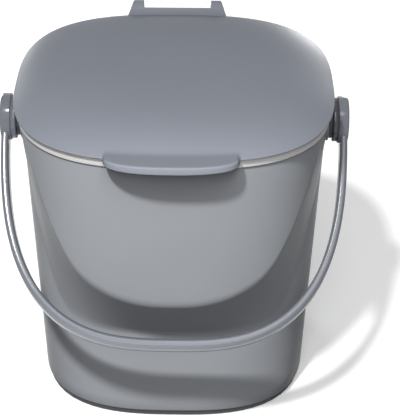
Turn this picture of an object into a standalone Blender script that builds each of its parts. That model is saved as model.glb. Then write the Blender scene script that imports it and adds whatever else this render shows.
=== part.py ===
"""A kitchen compost bin: a bucket with a bail handle, a drop-in rim ring and a hinged lid.

Blender 4.5, metres, +Z up, the front towards -Y, the base on Z = 0.
Run with: blender --background --python part.py
"""

import math

import bpy
import bmesh
from mathutils import Matrix, Vector

# Rim: the plan outline that the ring, the lid and the bucket's mouth share
RIM_HALF_WIDTH = 0.0905
RIM_HALF_DEPTH = 0.0875
SHOULDER_Z = 0.1875
ROUND_SHARE = 2.8            # exponent of the squarish plan outlines
COLUMNS = 72                 # faces round each outline
HALVINGS = 20                # steps in solving for a height

# Bucket: the lower wall, which the front panel overhangs
WALL = 0.0024
BASE_SIDE_IN = 0.0080        # base inside the rim's outline at the sides
BASE_FRONT_IN = 0.0132
BASE_REAR_IN = 0.0070
STAND_FRONT_IN = 0.0376      # how far in the lower wall's front would be at the shoulder
WALL_FOOT_Z = 0.0042
FLOOR_Z = 0.0072
FLOOR_THICKNESS = 0.0025
EDGE = 0.0008
NECK_HEIGHT = 0.0035
NECK_INSET = 0.0020
NECK_WALL = 0.0020

# Bucket: the front panel, with a curved lower crease over a sloping chin
PANEL_SIDE_IN = 0.0045       # at the base, if it ran down that far
CREASE_Z = 0.0950
JUNCTION_Z = 0.0595
CREASE_SIDE_DROP = 0.0030
JUNCTION_SIDE_DROP = 0.0080
CREASE_SOFT_SHARE = 0.06
# Each curve on the front: place across the rim's half width, and rise from its lowest point to the shoulder
CREASE_SHARES = ((0.0, 0.0), (0.22, 0.017), (0.44, 0.087), (0.62, 0.212), (0.75, 0.442), (0.87, 0.762),
                 (0.945, 1.0))
JUNCTION_SHARES = ((0.0, 0.0), (0.33, 0.005), (0.5, 0.018), (0.62, 0.038), (0.70, 0.070), (0.758, 0.131),
                   (0.824, 0.265), (0.878, 0.423), (0.943, 0.641), (0.968, 0.775), (0.99, 1.0))
STAND_ROW_SHARES = (0.0, 0.25, 0.5, 0.75, 1.0)
CHIN_ROW_SHARES = (0.5,)
PANEL_ROW_SHARES = (0.35, 0.7)

# Clearances
GAP = 0.0003
RING_PLAY = 0.0004
LID_PLAY = 0.0014
HINGE_PLAY = 0.0005

# Foot ring: a dark ring pressed up into the bucket's hollow base
FOOT_INSET = 0.0011
FOOT_WIDTH = 0.0062
FOOT_EDGE = 0.0006

# Rim ring: it drops over the bucket's mouth and carries the hinge barrel
RING_PROUD = 0.0009
RING_HEIGHT = 0.0055
RING_WALL = 0.0016
RING_SKIRT_DROP = 0.0069     # how far the inner skirt hangs below the shoulder
RING_EDGE = 0.0006

# Hinge
HINGE_OUT = 0.0095           # axis behind the rim's outline
HINGE_RISE = 0.0032          # axis above the ring's top
BARREL_RADIUS = 0.0040
BARREL_HALF_LENGTH = 0.0210
EAR_RADIUS = 0.0045
EAR_WIDTH = 0.0057
LEAF_ROOT_FLARE = 0.0048
LEAF_ROOT_IN = 0.0025        # root in front of the rim's outline
LEAF_NECK_OUT = 0.0030       # neck behind it
LEAF_RISE = 0.0018
SLOT_GAP = 0.0008
PIN_RADIUS = 0.0015
PIN_RECESS = 0.0007
WEB_DROP = 0.0047
ARC_STEPS = 10
PIN_SIDES = 16

# Lid: a shallow dome with a lift tab in front and ears round the hinge pin behind
LID_OVERHANG = 0.0025
LID_DEPTH_OVERHANG = 0.0027
LID_EDGE_HEIGHT = 0.0010
LID_RISE = 0.0088
LID_DOME_SHARE = 4.5
LID_WALL = 0.0022
LID_LAND = 0.0048
LID_RIB_DROP = 0.0046
LID_RIB_WALL = 0.0016
LID_RING_SHARES = (0.97, 0.93, 0.87, 0.78, 0.64, 0.44, 0.22)
LID_UNDER_SHARES = (0.80, 0.62, 0.42, 0.20)
TAB_HALF_WIDTH = 0.0370
TAB_ROOT_OUT = 0.0005        # root in front of the rim's outline
TAB_REACH = 0.0142
TAB_BACK = 0.0026            # how far its root runs into the lid's solid edge
TAB_ROOT_RISE = 0.0027       # top of the tab at its root, above the lid's lower edge
TAB_TIP_RISE = 0.0037
TAB_LIP = 0.0010             # how far the lip hangs below the lid's lower edge
TAB_WALL = 0.0019
TAB_ROUND_SHARE = 2.5
TAB_STEPS = 48
TAB_EDGE = 0.0007

# Handle: a bail that swings on two studs in the bucket's sides
PIVOT_Z = 0.1700
ARM_ROOM = 0.0118            # outside of the arms beyond the rim's half width
GRIP_ROOM = 0.0125           # outside of the grip in front of the rim's outline
HANDLE_THICKNESS = 0.0056    # at the grip, and thinner and narrower at the top of the arms
HANDLE_WIDTH = 0.0180
ARM_THICKNESS = 0.0042
ARM_WIDTH = 0.0140
HANDLE_EDGE = 0.0013
HANDLE_ROUND_SHARE = 2.9
HANDLE_DROP_ANGLE = math.radians(44)
HANDLE_STEPS = 44
PAD_PROUD = 0.0006           # outside of the pads beyond the arms
PAD_RADIUS = 0.0140
PAD_THICKNESS = 0.0062
COLLAR_RADIUS = 0.0130
JOURNAL_RADIUS = 0.0060
JOURNAL_DEPTH = 0.0062
PAD_EDGE = 0.0014
PIVOT_SIDES = 32

# Pivot studs: flanged studs that snap into holes in two flat bosses
BOSS_RADIUS = 0.0125
BOSS_PROUD = 0.0014
STUD_FLANGE_RADIUS = 0.0110
STUD_FLANGE_THICKNESS = 0.0018
STUD_SPIGOT_RADIUS = 0.0040
STUD_HEAD_RADIUS = 0.0055
STUD_HEAD_THICKNESS = 0.0020
STUD_EDGE = 0.0006

# How far cutting tools run past what they cut
OVERRUN = 0.0020

# Edges that turn by more than this are shaded sharp
SHARP_ANGLE = math.radians(35)

# Derived places
NECK_TOP_Z = SHOULDER_Z + NECK_HEIGHT
RING_BASE_Z = SHOULDER_Z + GAP
RING_TOP_Z = RING_BASE_Z + RING_HEIGHT
LID_BASE_Z = RING_TOP_Z + GAP
HINGE_Z = RING_TOP_Z + HINGE_RISE
FOOT_TOP_Z = FLOOR_Z - GAP
FLOOR_TOP_Z = FLOOR_Z + FLOOR_THICKNESS
HINGE_AXIS_Y = RIM_HALF_DEPTH + HINGE_OUT
HANDLE_HALF_WIDTH = RIM_HALF_WIDTH + ARM_ROOM
PAD_HALF_WIDTH = HANDLE_HALF_WIDTH + PAD_PROUD
HANDLE_REACH = (RIM_HALF_DEPTH + GRIP_ROOM) / math.cos(HANDLE_DROP_ANGLE)
GRIP_OUTER_FRONT = (HANDLE_REACH * math.cos(HANDLE_DROP_ANGLE)
                    + HANDLE_WIDTH / 2 * math.sin(HANDLE_DROP_ANGLE)
                    - HANDLE_EDGE * math.sin(HANDLE_DROP_ANGLE))
HINGE_REAR = HINGE_AXIS_Y + EAR_RADIUS
# The rim's centre sits a little behind the origin, which is the middle of the whole object
MID_Y = (GRIP_OUTER_FRONT - HINGE_REAR) / 2

# Colours: linear base colour, roughness
BODY_GREY = ((0.225, 0.235, 0.245), 0.38)
LID_GREY = ((0.150, 0.158, 0.178), 0.42)
RING_GREY = ((0.560, 0.550, 0.535), 0.45)
DARK_GREY = ((0.055, 0.058, 0.064), 0.50)
PIN_GREY = ((0.420, 0.420, 0.420), 0.30)


def material(name, finish, metallic=0.0):
    """A plain Principled material in one colour."""
    colour, roughness = finish
    mat = bpy.data.materials.new(name)
    mat.use_nodes = True
    shader = mat.node_tree.nodes["Principled BSDF"]
    shader.inputs["Base Color"].default_value = (*colour, 1.0)
    shader.inputs["Roughness"].default_value = roughness
    shader.inputs["Metallic"].default_value = metallic
    return mat


def add_object(name, bm, mat, origin=(0.0, 0.0, 0.0)):
    """Turn a bmesh in world coordinates into an object with its origin where it is wanted."""
    bmesh.ops.recalc_face_normals(bm, faces=bm.faces)
    bmesh.ops.translate(bm, verts=bm.verts, vec=-Vector(origin))
    mesh = bpy.data.meshes.new(name)
    bm.to_mesh(mesh)
    bm.free()
    mesh.shade_smooth()
    mesh.set_sharp_from_angle(angle=SHARP_ANGLE)
    mesh.materials.append(mat)
    ob = bpy.data.objects.new(name, mesh)
    ob.location = origin
    bpy.context.scene.collection.objects.link(ob)
    return ob


def combine(target, tool_bm, operation):
    """Join a tool to an object or cut it away, and drop the tool."""
    tool = add_object("tool", tool_bm, target.data.materials[0])
    cut = target.modifiers.new("combine", "BOOLEAN")
    cut.operation = operation
    cut.solver = "EXACT"
    cut.object = tool
    bpy.context.view_layer.update()
    graph = bpy.context.evaluated_depsgraph_get()
    result = bpy.data.meshes.new_from_object(target.evaluated_get(graph))
    old = target.data
    target.modifiers.clear()
    target.data = result
    bpy.data.meshes.remove(old)
    tool_mesh = tool.data
    bpy.data.objects.remove(tool)
    bpy.data.meshes.remove(tool_mesh)
    target.data.name = target.name
    target.data.shade_smooth()
    target.data.set_sharp_from_angle(angle=SHARP_ANGLE)


def take_mesh(ob):
    """Take a temporary object's shape back as a bmesh, and drop the object."""
    bm = bmesh.new()
    bm.from_mesh(ob.data)
    mesh = ob.data
    bpy.data.objects.remove(ob)
    bpy.data.meshes.remove(mesh)
    return bm


def squircle(angle, half_width, front, rear, power=ROUND_SHARE):
    """A point of a squarish plan outline, about the rim's centre, at a polar angle."""
    depth = front if math.sin(angle) < 0 else rear
    c = abs(math.cos(angle)) / half_width
    s = abs(math.sin(angle)) / depth
    radius = (c ** power + s ** power) ** (-1 / power)
    return radius * math.cos(angle), radius * math.sin(angle)


def column_angles():
    return [2 * math.pi * (i + 0.5) / COLUMNS for i in range(COLUMNS)]


def add_ring(bm, points):
    return [bm.verts.new(p) for p in points]


def join_rings(bm, lower, upper):
    count = len(lower)
    for i in range(count):
        j = (i + 1) % count
        bm.faces.new((lower[i], lower[j], upper[j], upper[i]))


def close_ring(bm, ring, centre):
    middle = bm.verts.new(centre)
    for i, vert in enumerate(ring):
        bm.faces.new((vert, ring[(i + 1) % len(ring)], middle))


def rim_ring_points(offset, z):
    """Points on the rim's outline, moved outwards by an offset."""
    points = []
    for angle in column_angles():
        x, y = squircle(angle, RIM_HALF_WIDTH + offset, RIM_HALF_DEPTH + offset, RIM_HALF_DEPTH + offset)
        points.append((x, y + MID_Y, z))
    return points


def swept_profile(profile, ring_points):
    """A closed profile of (offset, height) pairs swept round an outline."""
    bm = bmesh.new()
    rings = [add_ring(bm, ring_points(offset, z)) for offset, z in profile]
    for lower, upper in zip(rings, rings[1:] + rings[:1]):
        join_rings(bm, lower, upper)
    return bm


def lathe_x(profile, side, y, z, sides):
    """Turn a profile of (x, radius) pairs about the X direction through (y, z), with flat ends."""
    bm = bmesh.new()
    rings = []
    turn = [2 * math.pi * (i + 0.5) / sides for i in range(sides)]
    for x, radius in profile:
        circle = [(side * x, y + radius * math.cos(t), z + radius * math.sin(t)) for t in turn]
        rings.append(add_ring(bm, circle))
    for first, second in zip(rings, rings[1:]):
        join_rings(bm, first, second)
    bm.faces.new(rings[0])
    bm.faces.new(rings[-1])
    return bm


def prism_x(outline, half_width_at):
    """A Y-Z outline drawn out to both sides, to a half width that may change evenly with Y."""
    bm = bmesh.new()
    left = [bm.verts.new((-half_width_at(y), y, z)) for y, z in outline]
    right = [bm.verts.new((half_width_at(y), y, z)) for y, z in outline]
    join_rings(bm, left, right)
    bm.faces.new(left)
    bm.faces.new(right)
    return bm


def box(low, high):
    bm = bmesh.new()
    bmesh.ops.create_cube(bm, size=1)
    size = Vector(high) - Vector(low)
    middle = (Vector(high) + Vector(low)) / 2
    bmesh.ops.transform(bm, matrix=Matrix.Translation(middle) @ Matrix.Diagonal((*size, 1)), verts=bm.verts)
    return bm


def mix(a, b, share):
    return a + (b - a) * share


def stand_sizes(z):
    """Half width, front and rear of the lower wall at a height."""
    down = 1 - z / SHOULDER_Z
    front_in = mix(STAND_FRONT_IN, BASE_FRONT_IN, down)
    return (RIM_HALF_WIDTH - BASE_SIDE_IN * down, RIM_HALF_DEPTH - front_in,
            RIM_HALF_DEPTH - BASE_REAR_IN * down)


def panel_sizes(z):
    """Half width, front and rear of the panel's wall at a height; its front is upright."""
    down = 1 - z / SHOULDER_Z
    return RIM_HALF_WIDTH - PANEL_SIDE_IN * down, RIM_HALF_DEPTH, RIM_HALF_DEPTH - BASE_REAR_IN * down


def wall_point(sizes, angle, z, offset):
    half_width, front, rear = sizes(z)
    x, y = squircle(angle, half_width + offset, front + offset, rear + offset)
    return Vector((x, y + MID_Y, z))


def smooth_share(table, across):
    """Read a table of (across, rise) shares with a smooth curve through its points."""
    if across >= table[-1][0]:
        return 1.0
    last = len(table) - 1
    slopes = [0.0]
    for i in range(1, last + 1):
        after = min(i + 1, last)
        slopes.append((table[after][1] - table[i - 1][1]) / (table[after][0] - table[i - 1][0]))
    i = max(k for k in range(last) if table[k][0] <= across)
    span = table[i + 1][0] - table[i][0]
    t = (across - table[i][0]) / span
    rise = table[i][1] * (1 + 2 * t) * (1 - t) ** 2 + table[i + 1][1] * t * t * (3 - 2 * t)
    return rise + span * (slopes[i] * t * (1 - t) ** 2 - slopes[i + 1] * t * t * (1 - t))


def curve_height(sizes, angle, low_z, table, side_drop):
    """Height at which a column of the wall crosses a U-shaped curve on the front."""
    limit = SHOULDER_Z - side_drop
    if math.sin(angle) > 0:
        return limit
    low, high = low_z, SHOULDER_Z
    for _ in range(HALVINGS):
        z = (low + high) / 2
        across = abs(wall_point(sizes, angle, z, 0).x) / RIM_HALF_WIDTH
        if mix(low_z, SHOULDER_Z, smooth_share(table, across)) > z:
            low = z
        else:
            high = z
    return min(z, limit)


def junction_height(angle):
    return curve_height(stand_sizes, angle, JUNCTION_Z, JUNCTION_SHARES, JUNCTION_SIDE_DROP)


def crease_height(angle):
    return curve_height(panel_sizes, angle, CREASE_Z, CREASE_SHARES, CREASE_SIDE_DROP)


def skin_column(angle, offset, low_z):
    """Points up one column of the bucket's skin, from low_z to the shoulder."""
    junction = junction_height(angle)
    crease = crease_height(angle)
    heights = [mix(low_z, junction, share) for share in STAND_ROW_SHARES]
    column = [wall_point(stand_sizes, angle, z, offset) for z in heights]
    foot = column[-1]
    lip = wall_point(panel_sizes, angle, crease, offset)
    for share in (*CHIN_ROW_SHARES, 1 - CREASE_SOFT_SHARE):
        column.append(foot.lerp(lip, share))
    for share in (CREASE_SOFT_SHARE, *PANEL_ROW_SHARES):
        column.append(wall_point(panel_sizes, angle, mix(crease, SHOULDER_Z, share), offset))
    return column


def skin_rings(offset, low_z):
    """The same points as rings, from the lowest up."""
    columns = [skin_column(angle, offset, low_z) for angle in column_angles()]
    return [[column[row] for column in columns] for row in range(len(columns[0]))]


def base_points(offset, z):
    return [wall_point(stand_sizes, angle, z, offset) for angle in column_angles()]


def build_bucket():
    """One moulded shell: wall, panel over a chin, neck for the ring, raised floor."""
    bm = bmesh.new()
    neck_out = -NECK_INSET
    neck_in = -NECK_INSET - NECK_WALL
    outside = [add_ring(bm, base_points(-EDGE, WALL_FOOT_Z))]
    outside += [add_ring(bm, points) for points in skin_rings(0, WALL_FOOT_Z + EDGE)]
    outside.append(add_ring(bm, rim_ring_points(0, SHOULDER_Z)))
    outside.append(add_ring(bm, rim_ring_points(neck_out, SHOULDER_Z)))
    outside.append(add_ring(bm, rim_ring_points(neck_out, NECK_TOP_Z)))
    inside = [add_ring(bm, rim_ring_points(neck_in, NECK_TOP_Z))]
    inside.append(add_ring(bm, rim_ring_points(neck_in, SHOULDER_Z - EDGE)))
    inner = skin_rings(-WALL, FLOOR_TOP_Z + FLOOR_THICKNESS)
    inside += [add_ring(bm, points) for points in reversed(inner)]
    inside.append(add_ring(bm, base_points(-WALL - FLOOR_THICKNESS, FLOOR_TOP_Z)))
    under = [add_ring(bm, base_points_at_foot(-WALL, z)) for z in (WALL_FOOT_Z, FLOOR_Z)]
    rings = outside + inside
    for lower, upper in zip(rings, rings[1:]):
        join_rings(bm, lower, upper)
    join_rings(bm, outside[0], under[0])
    join_rings(bm, under[0], under[1])
    close_ring(bm, inside[-1], (0.0, MID_Y, FLOOR_TOP_Z))
    close_ring(bm, under[-1], (0.0, MID_Y, FLOOR_Z))
    # The wall's faces are bent a little, so they become flat triangles before the bosses are cut in
    bmesh.ops.triangulate(bm, faces=bm.faces)
    bucket = add_object("bucket", bm, material("body_plastic", BODY_GREY))
    side_x = stand_sizes(PIVOT_Z)[0]
    for side in (-1, 1):
        boss = [(side_x - WALL / 2, BOSS_RADIUS), (boss_face_x(), BOSS_RADIUS)]
        combine(bucket, lathe_x(boss, side, MID_Y, PIVOT_Z, PIVOT_SIDES), "UNION")
        hole_radius = STUD_SPIGOT_RADIUS + GAP
        hole = [(side_x - WALL - OVERRUN, hole_radius), (boss_face_x() + OVERRUN, hole_radius)]
        combine(bucket, lathe_x(hole, side, MID_Y, PIVOT_Z, PIN_SIDES), "DIFFERENCE")
    return bucket


def boss_face_x():
    """The flat face of a pivot boss, from the centre plane."""
    return stand_sizes(PIVOT_Z)[0] + BOSS_PROUD


def build_foot_ring():
    """A dark ring that fills the hollow base and lifts the wall off the worktop."""
    lower = -FOOT_INSET
    upper = -WALL - GAP
    step = WALL_FOOT_Z - GAP
    inner = -FOOT_INSET - FOOT_WIDTH
    profile = [(lower - FOOT_EDGE, 0.0), (lower, FOOT_EDGE), (lower, step), (upper, step),
               (upper, FOOT_TOP_Z), (inner, FOOT_TOP_Z), (inner, FOOT_EDGE), (inner + FOOT_EDGE, 0.0)]
    bm = swept_profile(profile, base_points_at_foot)
    return add_object("foot_ring", bm, material("foot_rubber", DARK_GREY))


def base_points_at_foot(offset, z):
    """The wall's lowest outline, whatever the height."""
    return [(p.x, p.y, z) for p in base_points(offset, WALL_FOOT_Z)]


def build_rim_ring():
    """A ring of inverted-channel section that sits over the bucket's neck, with the hinge barrel behind."""
    neck_out = -NECK_INSET
    neck_in = -NECK_INSET - NECK_WALL
    channel_z = NECK_TOP_Z + GAP
    skirt_out = neck_in - RING_PLAY
    skirt_in = skirt_out - RING_WALL
    skirt_z = SHOULDER_Z - RING_SKIRT_DROP
    profile = [(neck_out + RING_PLAY, RING_BASE_Z), (RING_PROUD - RING_EDGE, RING_BASE_Z),
               (RING_PROUD, RING_BASE_Z + RING_EDGE), (RING_PROUD, RING_TOP_Z - RING_EDGE),
               (RING_PROUD - RING_EDGE, RING_TOP_Z), (skirt_in + RING_EDGE, RING_TOP_Z),
               (skirt_in, RING_TOP_Z - RING_EDGE), (skirt_in, skirt_z), (skirt_out, skirt_z),
               (skirt_out, channel_z), (neck_out + RING_PLAY, channel_z)]
    bm = swept_profile(profile, rim_ring_points)
    ring = add_object("rim_ring", bm, material("ring_plastic", RING_GREY), (0.0, MID_Y, 0.0))
    axis_y = HINGE_AXIS_Y + MID_Y
    web_front = RIM_HALF_DEPTH - (RING_WALL - RING_PROUD) + MID_Y
    web_top = RING_TOP_Z - HINGE_PLAY / 2
    web_base = RING_TOP_Z - WEB_DROP
    arc = arc_points(axis_y, HINGE_Z, BARREL_RADIUS, 0, math.pi)
    outline = [(web_front, web_top), (web_front, web_base), (axis_y, web_base),
               (axis_y + BARREL_RADIUS, web_base + BARREL_RADIUS)]
    outline += arc + [(axis_y - BARREL_RADIUS, web_top)]
    combine(ring, prism_x(outline, lambda y: BARREL_HALF_LENGTH), "UNION")
    combine(ring, pin_hole(), "DIFFERENCE")
    return ring


def arc_points(y, z, radius, start, end):
    """Points of an arc in a Y-Z plane, angles from +Y towards +Z."""
    turn = [mix(start, end, i / ARC_STEPS) for i in range(ARC_STEPS + 1)]
    return [(y + radius * math.cos(t), z + radius * math.sin(t)) for t in turn]


def hinge_half_width():
    """Half the hinge's width over the lid's ears."""
    return BARREL_HALF_LENGTH + HINGE_PLAY + EAR_WIDTH


def pin_hole():
    end = hinge_half_width() + LEAF_ROOT_FLARE
    radius = PIN_RADIUS + GAP
    profile = [(-end, radius), (end, radius)]
    return lathe_x(profile, 1, HINGE_AXIS_Y + MID_Y, HINGE_Z, PIN_SIDES)


def build_hinge_pin():
    """The pin that joins the lid's ears to the ring's barrel."""
    end = hinge_half_width() - PIN_RECESS
    edge = PIN_RECESS / 2
    profile = [(-end, PIN_RADIUS - edge), (-end + edge, PIN_RADIUS), (end - edge, PIN_RADIUS),
               (end, PIN_RADIUS - edge)]
    axis = (0.0, HINGE_AXIS_Y + MID_Y, HINGE_Z)
    bm = lathe_x(profile, 1, axis[1], axis[2], PIN_SIDES)
    return add_object("hinge_pin", bm, material("pin_steel", PIN_GREY, 1.0), axis)


def lid_dome_z(share):
    """Height of the lid's outer surface at a share of the way from its centre to its edge."""
    return LID_BASE_Z + LID_EDGE_HEIGHT + LID_RISE * (1 - share ** LID_DOME_SHARE)


def lid_points(offset, z, share=1.0):
    """Points on the lid's outline, scaled by a share and then moved by an offset."""
    half_width = (RIM_HALF_WIDTH + LID_OVERHANG) * share + offset
    half_depth = (RIM_HALF_DEPTH + LID_DEPTH_OVERHANG) * share + offset
    points = []
    for angle in column_angles():
        x, y = squircle(angle, half_width, half_depth, half_depth)
        points.append((x, y + MID_Y, z))
    return points


def lid_share(offset):
    """Share of the lid's half width that is left inside an offset."""
    return 1 + offset / (RIM_HALF_WIDTH + LID_OVERHANG)


def build_lid():
    """The domed shell, its locating rib, its front tab and its rear hinge leaf."""
    bm = bmesh.new()
    edge = LID_EDGE_HEIGHT / 2
    rib_out = -(LID_OVERHANG + NECK_INSET + NECK_WALL + RING_PLAY + RING_WALL + LID_PLAY)
    rib_in = rib_out - LID_RIB_WALL
    rib_z = LID_BASE_Z - LID_RIB_DROP
    under_out = lid_dome_z(lid_share(rib_out)) - LID_WALL
    under_in = lid_dome_z(lid_share(rib_in)) - LID_WALL
    land_z = lid_dome_z(lid_share(-LID_LAND)) - LID_WALL
    rings = [add_ring(bm, lid_points(0, lid_dome_z(share), share)) for share in reversed(LID_RING_SHARES)]
    rings.append(add_ring(bm, lid_points(-edge / 2, lid_dome_z(1))))
    rings.append(add_ring(bm, lid_points(0, LID_BASE_Z + edge)))
    rings.append(add_ring(bm, lid_points(-edge, LID_BASE_Z)))
    rings.append(add_ring(bm, lid_points(-LID_LAND, LID_BASE_Z)))
    rings.append(add_ring(bm, lid_points(-LID_LAND - edge, land_z)))
    rings.append(add_ring(bm, lid_points(rib_out, under_out)))
    rings.append(add_ring(bm, lid_points(rib_out, rib_z)))
    rings.append(add_ring(bm, lid_points(rib_in, rib_z)))
    rings.append(add_ring(bm, lid_points(rib_in, under_in)))
    for share in LID_UNDER_SHARES:
        rings.append(add_ring(bm, lid_points(0, lid_dome_z(share) - LID_WALL, share)))
    for lower, upper in zip(rings, rings[1:]):
        join_rings(bm, lower, upper)
    close_ring(bm, rings[0], (0.0, MID_Y, lid_dome_z(0)))
    close_ring(bm, rings[-1], (0.0, MID_Y, lid_dome_z(0) - LID_WALL))
    axis = (0.0, HINGE_AXIS_Y + MID_Y, HINGE_Z)
    mat = material("lid_plastic", LID_GREY)
    lid = add_object("lid", bm, mat, axis)
    combine(lid, lift_tab(mat), "UNION")
    combine(lid, hinge_leaf(mat), "UNION")
    combine(lid, pin_hole(), "DIFFERENCE")
    return lid


def lift_tab(mat):
    """The tab under which the fingers go: a thin top with a lip that hangs down in front."""
    root_y = MID_Y - RIM_HALF_DEPTH - TAB_ROOT_OUT
    base_z = LID_BASE_Z - TAB_LIP

    def top_z(y):
        out = (root_y - y) / TAB_REACH
        return LID_BASE_Z + mix(TAB_ROOT_RISE, TAB_TIP_RISE, out)

    def outline(inset, height):
        """A ring of points; height None means the top surface."""
        points = []
        for i in range(TAB_STEPS):
            angle = 2 * math.pi * (i + 0.5) / TAB_STEPS
            x, y = squircle(angle, TAB_HALF_WIDTH - inset, TAB_REACH - inset, TAB_BACK - inset,
                            TAB_ROUND_SHARE)
            points.append((x, y + root_y, height(y + root_y)))
        return points

    bm = bmesh.new()
    rings = [add_ring(bm, outline(TAB_EDGE, top_z)),
             add_ring(bm, outline(0, lambda y: top_z(y) - TAB_EDGE)),
             add_ring(bm, outline(0, lambda y: base_z + TAB_EDGE)),
             add_ring(bm, outline(TAB_EDGE, lambda y: base_z)),
             add_ring(bm, outline(TAB_WALL, lambda y: base_z)),
             add_ring(bm, outline(TAB_WALL, lambda y: top_z(y) - TAB_WALL))]
    for lower, upper in zip(rings, rings[1:]):
        join_rings(bm, lower, upper)
    close_ring(bm, rings[0], (0.0, root_y, top_z(root_y)))
    close_ring(bm, rings[-1], (0.0, root_y, top_z(root_y) - TAB_WALL))
    tab = add_object("tab", bm, mat)
    ring_front = MID_Y - RIM_HALF_DEPTH - RING_PROUD - RING_PLAY
    low = (-TAB_HALF_WIDTH - OVERRUN, ring_front, base_z - OVERRUN)
    high = (TAB_HALF_WIDTH + OVERRUN, root_y + TAB_BACK + OVERRUN, LID_BASE_Z)
    combine(tab, box(low, high), "DIFFERENCE")
    return take_mesh(tab)


def hinge_leaf(mat):
    """The raised leaf behind the dome, ending in two ears that hold the hinge pin."""
    axis_y = HINGE_AXIS_Y + MID_Y
    root_depth = RIM_HALF_DEPTH - LEAF_ROOT_IN
    root_y = root_depth + MID_Y
    neck_y = RIM_HALF_DEPTH + LEAF_NECK_OUT + MID_Y
    slot_y = axis_y - BARREL_RADIUS - SLOT_GAP
    base_z = LID_BASE_Z + GAP
    top_root = lid_dome_z(root_depth / (RIM_HALF_DEPTH + LID_DEPTH_OVERHANG)) - LID_WALL / 2
    arc = arc_points(axis_y, HINGE_Z, EAR_RADIUS, -math.pi / 2, math.pi / 2)
    outline = [(root_y, base_z), (slot_y, base_z)] + arc
    outline += [(slot_y, HINGE_Z + LEAF_RISE), (neck_y, HINGE_Z + LEAF_RISE / 2), (root_y, top_root)]

    rear_y = axis_y + EAR_RADIUS

    def half_width(y):
        return hinge_half_width() + LEAF_ROOT_FLARE * (rear_y - y) / (rear_y - root_y)

    bm = prism_x(outline, half_width)
    leaf = add_object("leaf", bm, mat)
    half_slot = BARREL_HALF_LENGTH + HINGE_PLAY
    low = (-half_slot, slot_y, HINGE_Z - EAR_RADIUS - OVERRUN)
    high = (half_slot, axis_y + EAR_RADIUS + OVERRUN, HINGE_Z + EAR_RADIUS + OVERRUN)
    combine(leaf, box(low, high), "DIFFERENCE")
    return take_mesh(leaf)


def bail_section(turn):
    """Section of the bail at a turn as (outward, across) pairs, with chamfered corners."""
    thick = mix(ARM_THICKNESS, HANDLE_THICKNESS, math.sin(turn)) / 2
    wide = mix(ARM_WIDTH, HANDLE_WIDTH, math.sin(turn)) / 2
    return [(thick, -wide + HANDLE_EDGE), (thick, wide - HANDLE_EDGE), (thick - HANDLE_EDGE, wide),
            (-thick + HANDLE_EDGE, wide), (-thick, wide - HANDLE_EDGE), (-thick, -wide + HANDLE_EDGE),
            (-thick + HANDLE_EDGE, -wide), (thick - HANDLE_EDGE, -wide)]


def bail_curve(turn):
    """Centre line of the bail in its own plane: sideways place and reach from the pivot axis."""
    c, s = math.cos(turn), math.sin(turn)
    half_width = HANDLE_HALF_WIDTH - mix(ARM_THICKNESS, HANDLE_THICKNESS, s) / 2
    reach = HANDLE_REACH - HANDLE_THICKNESS / 2
    power = 2 / HANDLE_ROUND_SHARE
    return math.copysign(abs(c) ** power, c) * half_width, abs(s) ** power * reach


def build_handle():
    """The bail, its round end pads and the collars that turn on the studs."""
    pivot = Vector((0.0, MID_Y, PIVOT_Z))
    along = Vector((0.0, -math.cos(HANDLE_DROP_ANGLE), -math.sin(HANDLE_DROP_ANGLE)))
    across = Vector((1.0, 0.0, 0.0)).cross(along)
    bm = bmesh.new()
    rings = []
    step = math.pi / HANDLE_STEPS
    for i in range(HANDLE_STEPS + 1):
        turn = i * step
        x, reach = bail_curve(turn)
        before = bail_curve(max(0.0, turn - step / 4))
        after = bail_curve(min(math.pi, turn + step / 4))
        tangent = Vector((after[0] - before[0], after[1] - before[1])).normalized()
        out_x, out_reach = tangent.y, -tangent.x
        if i in (0, HANDLE_STEPS):
            out_x, out_reach = math.copysign(1.0, x), 0.0
        ring = []
        for outward, sideways in bail_section(turn):
            place = pivot + Vector((x + out_x * outward, 0.0, 0.0))
            place += along * (reach + out_reach * outward) + across * sideways
            ring.append(bm.verts.new(place))
        rings.append(ring)
    for lower, upper in zip(rings, rings[1:]):
        join_rings(bm, lower, upper)
    bm.faces.new(rings[0])
    bm.faces.new(rings[-1])
    handle = add_object("handle", bm, material("handle_plastic", LID_GREY), pivot)
    outer = PAD_HALF_WIDTH
    inner = outer - PAD_THICKNESS
    collar = stud_flange_x() + GAP
    bottom = collar + JOURNAL_DEPTH + GAP
    pad = [(collar, COLLAR_RADIUS - PAD_EDGE / 2), (collar + PAD_EDGE / 2, COLLAR_RADIUS),
           (inner, COLLAR_RADIUS), (inner, PAD_RADIUS - PAD_EDGE / 2), (inner + PAD_EDGE / 2, PAD_RADIUS),
           (outer - PAD_EDGE, PAD_RADIUS), (outer, PAD_RADIUS - PAD_EDGE)]
    bore = [(collar - OVERRUN, JOURNAL_RADIUS + GAP), (bottom, JOURNAL_RADIUS + GAP)]
    for side in (-1, 1):
        combine(handle, lathe_x(pad, side, MID_Y, PIVOT_Z, PIVOT_SIDES), "UNION")
        combine(handle, lathe_x(bore, side, MID_Y, PIVOT_Z, PIVOT_SIDES), "DIFFERENCE")
    return handle


def stud_flange_x():
    """The outer face of a stud's flange, from the centre plane."""
    return boss_face_x() + GAP + STUD_FLANGE_THICKNESS


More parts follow.
